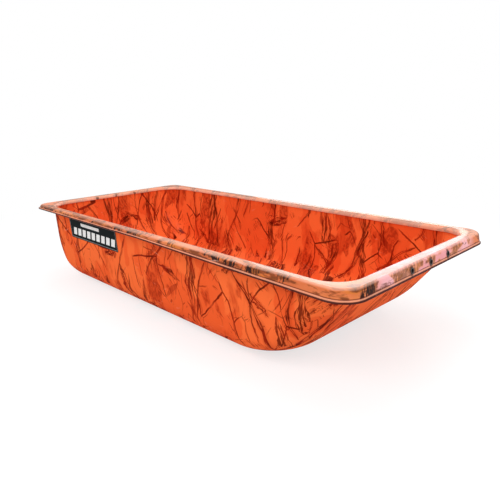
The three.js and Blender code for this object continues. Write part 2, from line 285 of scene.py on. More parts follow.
def rim_level_loop(inset, drop):
    widening = crown_share(inset) * (LIP_BOW_WIDTH - LIP_WIDTH)
    return level_loop(
        inset - SLED_LENGTH / 2,
        SLED_LENGTH / 2 - inset - widening,
        SLED_WIDTH / 2 - inset,
        rim_corner(RIM_STERN_CORNER, MOUTH_STERN_CORNER, inset),
        rim_corner(RIM_BOW_CORNER, MOUTH_BOW_CORNER, inset),
        RIM_TOP - drop,
    )


def rim_loop(bow_pair, stern_pair):
    """A loop round the rim whose inset and drop change from the bow back to where the rim stops getting
    shallower, and stay from there to the stern."""
    stern_loop = rim_level_loop(*stern_pair)[0]
    loop, tags = rim_level_loop(*bow_pair)
    points = []
    for here, there in zip(loop, stern_loop):
        share = max(1 - (SLED_LENGTH / 2 - here[0]) / LIP_TAPER, 0)
        points.append(tuple(lerp(b, a, share) for a, b in zip(here, there)))
    return points, tags


def rim_profile(offset, outer_foot, inner_foot):
    """The rim's cross-section as inset and drop pairs, from the foot of its outer leg over the crown."""
    outer_radius = LIP_OUTER_RADIUS - offset
    inner_radius = LIP_INNER_RADIUS - offset
    points = [(face_inset(offset, outer_foot), outer_foot)]
    for step in range(ARC_STEPS + 1):
        angle = lerp(LIP_FACE_DRAFT, math.pi / 2, step / ARC_STEPS)
        points.append((
            CROWN_START - outer_radius * math.cos(angle),
            LIP_OUTER_RADIUS - outer_radius * math.sin(angle),
        ))
    for step in range(ARC_STEPS + 1):
        angle = math.pi / 2 * step / ARC_STEPS
        points.append((
            CROWN_END + inner_radius * math.sin(angle),
            LIP_INNER_RADIUS - inner_radius * math.cos(angle),
        ))
    points.append((LIP_WIDTH - offset, inner_foot))
    return points


def tangent_height(wall):
    """Height above the floor's underside where a wall's fillet ends and its straight part starts."""
    _, draft, fillet = wall
    return fillet * (1 - math.sin(draft))


def wall_inset(wall, height, offset):
    neck, draft, fillet = wall
    straight = NECK_HEIGHT - tangent_height(wall)
    centre = neck + straight * math.tan(draft) + fillet * math.cos(draft)
    radius = fillet - offset
    if height < fillet - radius * math.sin(draft):
        rise = fillet - height
        return centre - math.sqrt(max(radius * radius - rise * rise, 0))
    return neck + (NECK_HEIGHT - height) * math.tan(draft) + offset / math.cos(draft)


def wall_loop(height, offset):
    share = height / NECK_HEIGHT
    stern_neck = rim_corner(RIM_STERN_CORNER, MOUTH_STERN_CORNER, NECK_INSET)
    bow_neck = rim_corner(RIM_BOW_CORNER, MOUTH_BOW_CORNER, NECK_INSET)
    return level_loop(
        wall_inset(STERN_WALL, height, offset) - SLED_LENGTH / 2,
        SLED_LENGTH / 2 - wall_inset(BOW_WALL, height, offset),
        SLED_WIDTH / 2 - wall_inset(SIDE_WALL, height, offset),
        lerp(FLOOR_STERN_CORNER, stern_neck, share) - offset,
        lerp(FLOOR_BOW_CORNER, bow_neck, share) - offset,
        RUNNER_DEPTH + height,
    )


def wall_heights(offset):
    """Heights from the floor up to the neck, closest together where the fillets turn."""
    fillet_top = max(tangent_height(wall) for wall in (SIDE_WALL, STERN_WALL, BOW_WALL))
    heights = [lerp(offset, fillet_top, (step / FILLET_STEPS) ** 2) for step in range(FILLET_STEPS)]
    wall_top = NECK_HEIGHT - WALL_TOP_DROP
    heights += [lerp(fillet_top, wall_top, step / WALL_STEPS) for step in range(WALL_STEPS + 1)]
    return heights + [NECK_HEIGHT - NECK_LOOP_DROP]


# Tub

FLAT_STERN = wall_inset(STERN_WALL, 0, 0) - SLED_LENGTH / 2
FLAT_BOW = SLED_LENGTH / 2 - wall_inset(BOW_WALL, 0, 0)
RUNNER_PLACES = [(number - (RUNNER_COUNT - 1) / 2) * RUNNER_PITCH for number in range(RUNNER_COUNT)]


def channel_depth(x, y):
    """How far the runner channels press the floor down at a place."""
    across = min(abs(y - place) for place in RUNNER_PLACES)
    stern = smooth(RAMP_START, RAMP_END, x - FLAT_STERN - CHANNEL_STERN_GAP)
    bow = smooth(RAMP_START, RAMP_END, FLAT_BOW - x)
    return RUNNER_DEPTH * (1 - smooth(CHANNEL_INNER, CHANNEL_OUTER, across)) * min(stern, bow)


def floor_lines():
    """Places of the floor's grid lines, close together over the edges and ramps of the runners."""
    xs = []
    ramp = (RAMP_LINES - 1) * RAMP_LINE_GAP
    for start in (FLAT_STERN + CHANNEL_STERN_GAP, FLAT_BOW - ramp):
        xs += [start + step * RAMP_LINE_GAP for step in range(RAMP_LINES)]
    middle = (xs[RAMP_LINES - 1], xs[RAMP_LINES])
    xs += [lerp(*middle, step / MIDDLE_LINES) for step in range(1, MIDDLE_LINES)]
    ys = list(RUNNER_PLACES)
    for side in (-1, 1):
        ys += [place + side * half for place in RUNNER_PLACES for half in CHANNEL_LINES]
        ys += [side * place for place in OUTER_LINES]
    for shift in BETWEEN_LINES:
        ys += [place + RUNNER_PITCH / 2 + shift for place in RUNNER_PLACES[:-1]]
    return sorted(xs), sorted(ys)


def add_floor(points, faces, border, height, inward):
    """Fills the loop with point numbers border by a floor with the runner channels in it."""
    outline = [Vector(points[number][:2]) for number in border]
    xs, ys = floor_lines()
    inner = []
    for x in xs:
        for y in ys:
            gap = min((Vector((x, y)) - spot).length for spot in outline)
            if gap > FLOOR_EDGE_GAP and inside(outline, x, y):
                inner.append(Vector((x, y)))
    ring = list(range(len(outline)))
    inside_only = 1
    merge_distance = 0.001
    result = delaunay_2d_cdt(outline + inner, [], [ring], inside_only, merge_distance)
    numbers = []
    for spot, origin in zip(result[0], result[3]):
        known = [number for number in origin if number < len(outline)]
        if known:
            numbers.append(border[known[0]])
        else:
            numbers.append(len(points))
            points.append((spot.x, spot.y, height - channel_depth(spot.x, spot.y)))
    for face in result[2]:
        corners = [numbers[number] for number in face]
        a, b, c = (Vector(points[number][:2]) for number in corners[:3])
        is_up = (b - a).cross(c - a) > 0
        faces.append(corners if is_up == inward else corners[::-1])


def inside(outline, x, y):
    """Whether a place lies inside a closed outline."""
    odd = False
    for a, b in zip(outline, outline[1:] + outline[:1]):
        if (a.y > y) != (b.y > y) and x < lerp(a.x, b.x, (y - a.y) / (b.y - a.y)):
            odd = not odd
    return odd


def fill_rows(rows, points, faces, is_ring):
    """Skins rows of point numbers that all have the same length."""
    count = len(rows[0])
    pairs = list(zip(rows, rows[1:]))
    if is_ring:
        pairs.append((rows[-1], rows[0]))
    for lower, upper in pairs:
        for step in range(count):
            after = (step + 1) % count
            faces.append([lower[step], lower[after], upper[after], upper[step]])


def make_tub():
    """The tub's sheet, with each point's places in the flat layouts of its print."""
    miter = TUB_WALL * math.tan(BOW_RAKE / 2)
    flanges = []
    for foot in (FLANGE_BOW_DROP, FLANGE_STERN_DROP):
        under = rim_profile(TUB_OFFSET, foot, NECK_DROP)[::-1]
        over = rim_profile(FLANGE_OFFSET, foot, NECK_DROP)
        over[-1] = (over[-1][0], NECK_DROP - miter)
        edge_in, edge_out = under[-1][0], over[0][0]
        edge = [(edge_in, foot - FLANGE_EDGE_DROP)]
        for share in (FLANGE_EDGE_SHARE, 1 - FLANGE_EDGE_SHARE):
            edge.append((lerp(edge_in, edge_out, share), foot))
        edge.append((edge_out, foot - FLANGE_EDGE_DROP))
        flanges.append(under[:-1] + edge + over[1:])
    loops = [wall_loop(height, 0) for height in wall_heights(0)]
    outer_count = len(loops)
    loops += [rim_loop(*pairs) for pairs in zip(*flanges)]
    inner_start = len(loops)
    loops += [wall_loop(height, TUB_WALL) for height in wall_heights(TUB_WALL)[::-1]]

    points, rows, tags = [], [], []
    for loop, loop_tags in loops:
        rows.append(list(range(len(points), len(points) + len(loop))))
        points += loop
        tags += loop_tags
    faces = []
    fill_rows(rows, points, faces, False)

    # How far each point lies down its wall from the rim, along the surface
    down = [0.0] * len(points)
    for skin_rows in (rows[outer_count - 1::-1], rows[inner_start:]):
        for above, below in zip(skin_rows, skin_rows[1:]):
            for high, low in zip(above, below):
                down[low] = down[high] + (Vector(points[low]) - Vector(points[high])).length

    wall_points = len(points)
    add_floor(points, faces, rows[0], RUNNER_DEPTH, False)
    outer_points = len(points)
    add_floor(points, faces, rows[-1], RUNNER_DEPTH + TUB_WALL, True)

    sides, ends, floors = [], [], []
    inner_first = rows[inner_start - ARC_STEPS][0]
    for number, (x, y, z) in enumerate(points):
        if number < wall_points:
            side_place, end_place, end_share = tags[number]
            skin = 1 if number >= inner_first else 0
        else:
            side_place, end_place, end_share = x, y, 0
            skin = 0 if number < outer_points else 1
        height = (z - RUNNER_DEPTH - TUB_WALL * skin) / BORDER_HEIGHT
        floor_share = 1 - smooth(*WALL_BORDER, height) if number < wall_points else 1
        if end_share > 0.5 and x > 0:
            floor_share = 1 - smooth(*BOW_BORDER, height)
        left = HALF_SHIFT if y > 0 else 0
        bow = HALF_SHIFT if x > 0 else 0
        fall = -down[number] * MM if number < wall_points else 0
        shift = SKIN_SHIFT * skin
        sides.append((side_place * MM + left + shift, fall, end_share))
        ends.append((end_place * MM + bow + shift + END_SHIFT, fall, floor_share))
        floors.append((x * MM + FLOOR_SHIFT, y * MM + shift, skin))
    tub = new_object("tub_shell", points, faces)
    drill(tub)
    store(tub, points, {"print_side": sides, "print_end": ends, "print_floor": floors})
    return tub


# Rim lip

def rounded(corners):
    """A closed outline of (inset, drop, radius) corners, with those that have a radius rounded off."""
    points = []
    for number, (inset, drop, radius) in enumerate(corners):
        here = Vector((inset, drop))
        if not radius:
            points.append(tuple(here))
            continue
        before = Vector(corners[number - 1][:2]) - here
        after = Vector(corners[(number + 1) % len(corners)][:2]) - here
        half = before.angle(after) / 2
        most = min(before.length, after.length) * EDGE_REACH
        reach = min(radius / math.tan(half), most)
        first = here + before.normalized() * reach
        last = here + after.normalized() * reach
        for step in range(EDGE_STEPS + 1):
            share = step / EDGE_STEPS
            points.append(tuple(first.lerp(here, share).lerp(here.lerp(last, share), share)))
    return points


def lip_profile(lip_height, leg):
    """The lip's closed cross-section as inset and drop pairs."""
    bead_top = lip_height - BEAD_HEIGHT
    outside = rim_profile(0, bead_top, leg)
    inner = rim_profile(LIP_WALL, lip_height, leg)[::-1]
    corners = [(0, lip_height, BEAD_RADII[0]), (0, bead_top, BEAD_RADII[1])]
    corners.append((*outside[0], LIP_LEG_RADIUS))
    corners.append((*Vector(outside[0]).lerp(Vector(outside[1]), 0.5), 0))
    corners += [(*pair, 0) for pair in outside[1:-1]]
    corners += [(*outside[-1], LIP_LEG_RADIUS), (*inner[0], LIP_INSIDE_RADIUS)]
    corners += [(*pair, 0) for pair in inner[1:-1]]
    corners.append((*inner[-1], LIP_INSIDE_RADIUS))
    return rounded(corners)


def make_lip():
    """The lip, with each point's place on it: turned about a ring as long as the rim, and how far it
    lies from the foot of the bead over the surface."""
    points, rows, rings = [], [], []
    radius = (SLED_LENGTH + SLED_WIDTH) * MM / math.pi
    bow_profile = lip_profile(LIP_BOW_HEIGHT, LIP_BOW_LEG)
    stern_profile = lip_profile(LIP_STERN_HEIGHT, LIP_STERN_LEG)
    for number, pairs in enumerate(zip(bow_profile, stern_profile)):
        loop = rim_loop(*pairs)[0]
        start = len(points)
        rows.append(list(range(start, start + len(loop))))
        points += loop
        steps = [math.dist(spot, loop[step - 1]) * MM for step, spot in enumerate(loop)]
        whole = sum(steps)
        along = 0.0
        for step, spot in enumerate(loop):
            along += steps[step] if step else 0.0
            far = 0.0
            if number:
                before = start - len(loop) + step
                far = rings[before][2] + math.dist(spot, points[before]) * MM
            angle = 2 * math.pi * along / whole
            rings.append((radius * math.cos(angle), radius * math.sin(angle), far))
    faces = []
    fill_rows(rows, points, faces, True)
    lip = new_object("rim_lip_skin", points, faces)
    drill(lip)
    store(lip, points, {"rim_ring": rings})
    return lip


# Tow eyelets

def tow_frame(number):
    """Turns a piece made round the Z axis out of the bow face, at an eyelet's place."""
    across = (number - (len(TOW_NAMES) - 1) / 2) * TOW_PITCH
    place = Vector((SLED_LENGTH / 2 - face_inset(0, TOW_DROP), across, RIM_TOP - TOW_DROP))
    outward = Vector((math.cos(LIP_FACE_DRAFT), 0, math.sin(LIP_FACE_DRAFT)))
    level = Vector((0, 1, 0))
    turn = Matrix((level.cross(outward), level, outward)).transposed().to_4x4()
    return Matrix.Translation(place) @ turn


TOW_FRAMES = [tow_frame(number) for number in range(len(TOW_NAMES))]


def turned(name, profile, place):
    """A round piece with a bore from a closed outline of radius and height pairs."""
    points, rows = [], []
    for radius, height in profile:
        rows.append(list(range(len(points), len(points) + ROUND_STEPS)))
        for step in range(ROUND_STEPS):
            angle = 2 * math.pi * step / ROUND_STEPS
            points.append(place @ Vector((radius * math.cos(angle), radius * math.sin(angle), height)))
    faces = []
    fill_rows(rows, points, faces, True)
    piece = new_object(name, points, faces)
    piece.data.set_sharp_from_angle(angle=SHARP_ANGLE)
    return piece


def make_eyelet(side, place):
    bore = EYELET_BORE / 2
    barrel = EYELET_BARREL / 2
    head = EYELET_HEAD / 2
    front = CLEARANCE + EYELET_HEAD_THICKNESS
    back = -(TUB_OFFSET + CLEARANCE + WASHER_THICKNESS + EYELET_TAIL)
    under = CLEARANCE
    outline = [(bore, back), (barrel, back), (barrel, under), (head, under), (head, front)]
    outline.append((bore, front))
    corners = [(*spot, radius) for spot, radius in zip(outline, EYELET_RADII)]
    return turned(f"tow_eyelet_{side}_turned", rounded(corners), place)


def make_washer(side, place):
    hole = EYELET_BARREL / 2 + CLEARANCE
    edge = WASHER_DIAMETER / 2
    front = -(TUB_OFFSET + CLEARANCE)
    back = front - WASHER_THICKNESS
    outline = ((hole, back), (edge, back), (edge, front), (hole, front))
    corners = [(*spot, radius) for spot, radius in zip(outline, WASHER_RADII)]
    return turned(f"tow_eyelet_washer_{side}_turned", rounded(corners), place)


def drill(obj):
    """Cuts the tow holes through a piece."""
    radius = (EYELET_BARREL / 2 + CLEARANCE) * MM
    length = 4 * TUB_OFFSET * MM
    cutter_mesh = bpy.data.meshes.new("drill")
    shape = bmesh.new()
    for place in TOW_FRAMES:
        made = bmesh.ops.create_cone(
            shape, cap_ends=True, segments=ROUND_STEPS, radius1=radius, radius2=radius, depth=length,
        )
        turn = Matrix.Translation(place.translation * MM) @ place.to_3x3().to_4x4()
        bmesh.ops.transform(shape, matrix=turn, verts=made["verts"])
    shape.to_mesh(cutter_mesh)
    shape.free()
    cutter = linked("drill", cutter_mesh)
    cut = obj.modifiers.new("holes", "BOOLEAN")
    cut.operation = "DIFFERENCE"
    cut.solver = "EXACT"
    cut.object = cutter
    depsgraph = bpy.context.evaluated_depsgraph_get()
    ready = obj.evaluated_get(depsgraph)
    mesh = bpy.data.meshes.new_from_object(ready, preserve_all_data_layers=True, depsgraph=depsgraph)
    obj.modifiers.remove(cut)
    old = obj.data
    obj.data = mesh
    mesh.name = obj.name
    bpy.data.meshes.remove(old)
    bpy.data.objects.remove(cutter)
    bpy.data.meshes.remove(cutter_mesh)
    mesh.shade_smooth()
    mesh.set_sharp_from_angle(angle=SHARP_ANGLE)


# Node helpers

class Net:
    """A node tree with short calls that add a node and give back its output."""

    def __init__(self, tree):
        self.tree = tree

    def put(self, socket, value):
        """Links a socket, or sets it to a number, a vector or a written colour."""
        if isinstance(value, bpy.types.NodeSocket):
            self.tree.links.new(value, socket)
        else:
            socket.default_value = colour(value) if isinstance(value, str) else value

    def fill(self, node, **values):
        """Fills a node's inputs by their names, with an underscore for a space."""
        for name, value in values.items():
            self.put(node.inputs[name.replace("_", " ")], value)

    def node(self, kind, *values, **settings):
        """A node with these settings, and with its first inputs filled in their order."""
        node = self.tree.nodes.new(kind)
        for name, value in settings.items():
            setattr(node, name, value)
        for socket, value in zip(node.inputs, values):
            self.put(socket, value)
        return node

    def math(self, operation, a, b=0.0, c=0.0, clamp=False):
        return self.node("ShaderNodeMath", a, b, c, operation=operation, use_clamp=clamp).outputs[0]

    def times(self, a, b):
        return self.math("MULTIPLY", a, b)

    def larger(self, a, b):
        return self.math("MAXIMUM", a, b)

    def linear(self, value, factor, shift):
        return self.math("MULTIPLY_ADD", value, factor, shift)

    def vector(self, operation, a, b=(0.0, 0.0, 0.0)):
        node = self.node("ShaderNodeVectorMath", a, b, operation=operation)
        return node.outputs["Value" if operation in ("LENGTH", "DOT_PRODUCT") else "Vector"]

    def scaled(self, vector, factor):
        node = self.node("ShaderNodeVectorMath", vector, operation="SCALE")
        self.fill(node, Scale=factor)
        return node.outputs["Vector"]

    def moved(self, place, shift, factor):
        return self.vector("ADD", place, self.scaled(shift, factor))

    def split(self, vector):
        return tuple(self.node("ShaderNodeSeparateXYZ", vector).outputs)

    def join(self, x, y, z=0.0):
        return self.node("ShaderNodeCombineXYZ", x, y, z).outputs[0]

    def step(self, value, low, high, out_low=0.0, out_high=1.0):
        """A smooth step from one output value to the other."""
        node = self.node("ShaderNodeMapRange", value, low, high, out_low, out_high)
        node.interpolation_type = "SMOOTHSTEP"
        return node.outputs[0]

    def band(self, value, rise, fall):
        """1 between a rising and a falling edge, each given by the values where it starts and ends."""
        return self.times(self.step(value, *rise), self.step(value, *fall, 1.0, 0.0))

    def noise(self, vector, scale, detail, roughness=0.5, output="Fac"):
        node = self.node("ShaderNodeTexNoise", vector)
        self.fill(node, Scale=scale, Detail=detail, Roughness=roughness)
        return node.outputs[output]

    def noise_vector(self, vector, scale, detail):
        """A noise with three independent parts, each about zero."""
        parts = self.noise(vector, scale, detail, output="Color")
        return self.vector("SUBTRACT", parts, (0.5, 0.5, 0.5))

    def voronoi(self, vector, feature, randomness):
        node = self.node("ShaderNodeTexVoronoi", vector, voronoi_dimensions="2D", feature=feature)
        self.fill(node, Scale=1.0, Randomness=randomness)
        return node.outputs

    def mix(self, share, a, b):
        """A mix of two colours, which are the node's inputs 6 and 7."""
        node = self.node("ShaderNodeMix", data_type="RGBA")
        for number, value in ((0, share), (6, a), (7, b)):
            self.put(node.inputs[number], value)
        return node.outputs[2]

    def choose(self, share, a, b):
        """A mix of two vectors, which are the node's inputs 4 and 5."""
        node = self.node("ShaderNodeMix", data_type="VECTOR")
        for number, value in ((0, share), (4, a), (5, b)):
            self.put(node.inputs[number], value)
        return node.outputs[1]

    def tint(self, base, cover, strength, shade):
        """The base with a written colour over it, at a strength, where the cover is 1."""
        return self.mix(self.times(cover, strength), base, shade)

    def attribute(self, name):
        return self.node("ShaderNodeAttribute", attribute_name=name).outputs["Vector"]

    def place(self):
        return self.node("ShaderNodeTexCoord").outputs["Object"]


def new_material(name):
    """A material with a bare Principled shader: its net of nodes, and the shader."""
    material = bpy.data.materials.new(name)
    material.use_nodes = True
    net = Net(material.node_tree)
    return material, net, material.node_tree.nodes["Principled BSDF"]


def bump(net, shader, height, strength, distance):
    node = net.node("ShaderNodeBump")
    net.fill(node, Height=height, Strength=strength, Distance=distance)
    net.fill(shader, Normal=node.outputs[0])


# Printed pattern

PRINT_LAYERS = ("Lines", "Blades", "Blotches", "Mottle")

# How far in metres a step of the seed shifts the strokes, so that no two kinds lie on each other
SEED_SHIFT = (1.37, 2.11)

# Strokes in metres and radians: cell, half length, half width, lean, share of the cells that hold one,
# seed, bend, halo, strand width, and whether the ends are pointed
REEDS = ((0.2, 0.62), 0.36, 0.0145, 0.12, 0.7, 8, 0.8, 0.0, 0.0048, False)
STALKS = ((0.15, 0.42), 0.2, 0.0066, 0.4, 0.85, 1, 2.2, 0.012, 0.0045, False)
THIN_STALKS = ((0.1, 0.27), 0.125, 0.0034, 0.75, 0.7, 2, 3.5, 0.006, 0.0036, False)
LEAVES = ((0.15, 0.17), 0.05, 0.0135, 1.25, 0.5, 10, 4.0, 0.01, 0.004, True)
TWIGS = ((0.06, 0.13), 0.054, 0.0016, 0.95, 0.5, 5, 6.0, 0.0, 0.0, False)
BLADES = ((0.07, 0.13), 0.055, 0.008, 0.9, 0.35, 6, 6.0, 0.0, 0.0, True)
SLIM_BLADES = ((0.04, 0.11), 0.05, 0.003, 0.5, 0.3, 7, 6.0, 0.0, 0.0, True)

# Branching lines in metres: cell, half width and seed
BRANCHES = ((0.13, 0.26), 0.0021, 3)
FINE_BRANCHES = ((0.045, 0.11), 0.0012, 4)
RIM_TWIGS = ((0.05, 0.05), 0.0014, 6)

# Slanting hatching: slants with a seed each, and grain per metre across and along
HATCHES = ((0.62, 3.0), (-0.55, 7.0))
HATCH_ACROSS = 250
HATCH_ALONG = 19


def in_cells(net, place, cell, seed):
    """The place counted in cells of that size, with other cells for another seed."""
    shift_x, shift_y = SEED_SHIFT
    shifted = net.vector("ADD", place, (seed * shift_x, seed * shift_y, 0.0))
    return net.vector("DIVIDE", shifted, (*cell, 1.0))


def strokes(net, place, cell, half_length, half_width, lean, density, seed, bend, halo, strand,
            pointed):
    """Separate strokes, one in a cell at most: 1 in a stroke and 0 between them. With a strand width, a
    stroke swells and thins, and is drawn as strands. With a halo, a pair: the strokes, and a soft band
    that wide round them."""
    counted = in_cells(net, place, cell, seed)
    cells = net.voronoi(counted, "F1", 0.9)
    away = net.vector("SUBTRACT", counted, cells["Position"])
    away = net.vector("MULTIPLY", away, (*cell, 0.0))
    across, along, _ = net.split(away)
    first, second, third = net.split(cells["Color"])
    angle = net.linear(first, 2 * lean, -lean)
    sine = net.math("SINE", angle)
    cosine = net.math("COSINE", angle)
    length = net.linear(along, cosine, net.times(across, sine))
    width = net.math("SUBTRACT", net.times(across, cosine), net.times(along, sine))
    curl = net.times(net.math("SUBTRACT", second, 0.5), bend)
    width = net.linear(net.times(length, length), curl, width)
    share = net.math("DIVIDE", net.math("ABSOLUTE", length), half_length)
    square = net.times(share, share)
    if not pointed:
        square = net.times(square, square)
    taper = net.math("SUBTRACT", 1.0, square, clamp=True)
    reach = net.times(taper, half_width)
    if strand:
        swell = net.noise(net.join(net.times(length, 15.0), first, third), 1.0, 1.0)
        reach = net.times(reach, net.step(swell, 0.3, 0.7, 0.45, 1.4))
    inside_by = net.math("SUBTRACT", reach, net.math("ABSOLUTE", width))
    cover = net.step(inside_by, 0.0, min(half_width * 0.6, 0.0012))
    if strand:
        over = net.math("DIVIDE", width, strand)
        down = net.linear(first, 40.0, net.times(length, 18.0))
        drawn = net.step(net.noise(net.join(over, down, third), 1.0, 2.0), 0.44, 0.54)
        edge = net.step(inside_by, 0.0018, 0.003, 1.0, 0.12)
        cover = net.times(cover, net.larger(drawn, edge))
    kept = net.math("LESS_THAN", third, density)
    cover = net.times(cover, kept)
    if not halo:
        return cover
    around = net.times(net.step(inside_by, -halo, 0.0), net.step(taper, 0.0, 0.4))
    return cover, net.times(around, kept)


def cracks(net, place, cell, half_width, seed):
    """Branching lines between stretched cells: 1 on a line."""
    edge = net.voronoi(in_cells(net, place, cell, seed), "DISTANCE_TO_EDGE", 1.0)["Distance"]
    return net.step(net.times(edge, cell[0]), half_width * 0.5, half_width, 1.0, 0.0)


def printed_pattern():
    """The tub's print: bundles of upright reeds, bold and thin stalks, torn leaves, branches, twigs and
    blades, over soft blotches and a few rough patches. Made from noise alone."""
    group = bpy.data.node_groups.new("reed_print", "ShaderNodeTree")
    for name in ("Place", "Room"):
        group.interface.new_socket(name=name, in_out="INPUT", socket_type="NodeSocketVector")
    for name in PRINT_LAYERS:
        group.interface.new_socket(name=name, in_out="OUTPUT", socket_type="NodeSocketFloat")
    net = Net(group)
    source = net.node("NodeGroupInput")
    target = net.node("NodeGroupOutput")
    flat, room = source.outputs["Place"], source.outputs["Room"]

    slow = net.scaled(net.noise_vector(flat, 5.0, 1.0), 0.07)
    quick = net.scaled(net.noise_vector(flat, 34.0, 2.0), 0.0085)
    bent = net.vector("ADD", flat, slow)
    ragged = net.vector("ADD", bent, quick)

    # Where the print is busy, and where its finest lines and its branches lie
    busy = net.noise(net.vector("MULTIPLY", flat, (1.0, 0.6, 1.0)), 7.0, 2.0, 0.55)
    clumps = net.step(busy, 0.45, 0.54)
    rare = net.step(net.noise(flat, 11.0, 1.0), 0.5, 0.58)
    branching = net.step(net.noise(flat, 8.0, 1.0), 0.43, 0.49)

    # Lines, and the soft halo round the bolder ones
    stalks, glow = strokes(net, ragged, *STALKS)
    thin, thin_glow = strokes(net, ragged, *THIN_STALKS)
    torn = net.moved(ragged, net.noise_vector(flat, 75.0, 2.0), 0.02)
    leaves, fringe = strokes(net, torn, *LEAVES)
    fine = net.times(cracks(net, ragged, *FINE_BRANCHES), net.times(clumps, rare))
    layers = (
        (strokes(net, ragged, *REEDS), 0.9),
        (thin, 0.9),
        (net.times(cracks(net, ragged, *BRANCHES), branching), 0.95),
        (fine, 0.6),
        (net.times(strokes(net, ragged, *TWIGS), clumps), 0.75),
    )
    lines = net.larger(stalks, leaves)
    for layer, strength in layers:
        lines = net.larger(lines, net.times(layer, strength))
    halo = net.larger(net.larger(glow, net.times(thin_glow, 0.6)), fringe)

    # Blades in the busy parts, broken up by upright streaks finer than a stalk
    grain = net.noise(net.vector("MULTIPLY", ragged, (210.0, 9.0, 1.0)), 1.0, 2.0, 0.55)
    streaks = net.step(grain, 0.45, 0.56)
    slim = strokes(net, bent, *SLIM_BLADES)
    blades = net.larger(strokes(net, ragged, *BLADES), slim)
    blades = net.times(blades, net.linear(streaks, 0.5, 0.5))
    blades = net.times(blades, net.step(busy, 0.48, 0.56))

    # Patches of slanting hatching
    for slant, seed in HATCHES:
        sine, cosine = math.sin(slant), math.cos(slant)
        over = net.vector("DOT_PRODUCT", ragged, (cosine * HATCH_ACROSS, sine * HATCH_ACROSS, 0.0))
        down = net.vector("DOT_PRODUCT", ragged, (-sine * HATCH_ALONG, cosine * HATCH_ALONG, 0.0))
        hatch = net.step(net.noise(net.join(over, down, seed), 1.0, 2.0), 0.54, 0.6)
        spots = net.noise(net.vector("ADD", bent, (seed, seed, 0.0)), 13.0, 2.0)
        blades = net.larger(blades, net.times(hatch, net.step(spots, 0.6, 0.65)))

    # Soft blotches, and a few rough and flaky patches that are darker
    tall = net.vector("MULTIPLY", room, (1.0, 1.0, 0.5))
    patch = net.noise(net.moved(tall, slow, 0.5), 13.0, 4.0, 0.62)
    patches = net.larger(net.step(patch, 0.55, 0.67), net.times(halo, 0.6))
    patches = net.times(patches, net.linear(streaks, 0.35, 0.65))
    rough = net.step(net.noise(net.moved(tall, slow, 0.8), 12.0, 2.0), 0.605, 0.635)
    patches = net.larger(patches, net.times(rough, 0.85))
    flakes = net.noise(net.vector("MULTIPLY", ragged, (120.0, 60.0, 1.0)), 1.0, 3.0, 0.6)
    flakes = net.times(net.step(flakes, 0.46, 0.56, 0.05, 0.7), rough)

    # The ground's mottle: wide areas with finer noise in them
    soft = net.times(net.noise(tall, 22.0, 5.0, 0.6), 0.5)
    areas = net.noise(net.moved(tall, quick, 1.5), 9.0, 2.0, 0.45)
    areas = net.linear(net.step(areas, 0.485, 0.515), 0.5, soft)
    net.fill(target, Lines=lines, Blades=net.larger(blades, flakes), Blotches=patches, Mottle=areas)
    return group


# Materials

def worn_marks(net, place):
    """Light handling scratches: 1 on a scratch."""
    squat = net.vector("MULTIPLY", place, (1.0, 1.0, 0.35))
    bent = net.moved(squat, net.noise_vector(place, 3.0, 1.0), 0.12)
    marks = net.noise(net.vector("MULTIPLY", bent, (14.0, 90.0, 300.0)), 1.0, 1.0)
    sparse = net.noise(place, 9.0, 2.0)
    return net.times(net.step(marks, 0.66, 0.72), net.step(sparse, 0.52, 0.62))


def tub_material():
    """Blaze orange plastic with the print, glossier inside than outside."""
    material, net, shader = new_material("printed_tub_plastic")
    place = net.place()
    floor = net.attribute("print_floor")
    side_u, side_v, end_share = net.split(net.attribute("print_side"))
    end_u, end_v, floor_share = net.split(net.attribute("print_end"))
    _, _, skin = net.split(floor)

    # One flat layout for each side, end and floor, with ragged borders between them
    ragged = net.linear(net.noise(place, 45.0, 3.0), 0.9, -0.45)
    on_end = net.math("GREATER_THAN", net.math("ADD", end_share, ragged), 0.5)
    on_floor = net.math("GREATER_THAN", net.math("ADD", floor_share, ragged), 0.5)
    wall = net.choose(on_end, net.join(side_u, side_v), net.join(end_u, end_v))
    flat = net.choose(on_floor, wall, floor)

    pattern = net.node("ShaderNodeGroup", node_tree=printed_pattern())
    net.fill(pattern, Place=net.vector("MULTIPLY", flat, (1.0, 1.0, 0.0)), Room=place)
    lines, blades, blotches, mottle = (pattern.outputs[name] for name in PRINT_LAYERS)

    base = net.mix(net.step(mottle, 0.2, 0.85), "#f56e37", "#eb5d2c")
    base = net.tint(base, blotches, 0.6, "#b82f0f")
    base = net.tint(base, blades, 0.75, "#8c1c09")
    depth = net.step(net.noise(place, 19.0, 2.0), 0.4, 0.6)
    ink = net.mix(depth, "#8c1a08", "#560c03")
    base = net.mix(net.times(lines, 0.95), base, ink)
    scratches = worn_marks(net, place)
    base = net.tint(base, scratches, 0.2, "#ffb08e")

    gloss = net.linear(net.noise(place, 60.0, 4.0), 0.22, 0.26)
    gloss = net.linear(scratches, 0.2, gloss)
    net.fill(shader, Base_Color=base, Roughness=gloss, Specular_IOR_Level=0.0)
    net.fill(shader, Coat_Weight=net.linear(skin, 0.07, 0.03), Coat_Roughness=0.16)
    waves = net.times(net.noise(place, 7.0, 1.0), 3.0)
    peel = net.times(net.noise(place, 260.0, 2.0), 0.05)
    height = net.math("SUBTRACT", net.math("ADD", waves, peel), net.times(scratches, 0.03))
    bump(net, shader, height, 0.6, 0.0012)
    return material


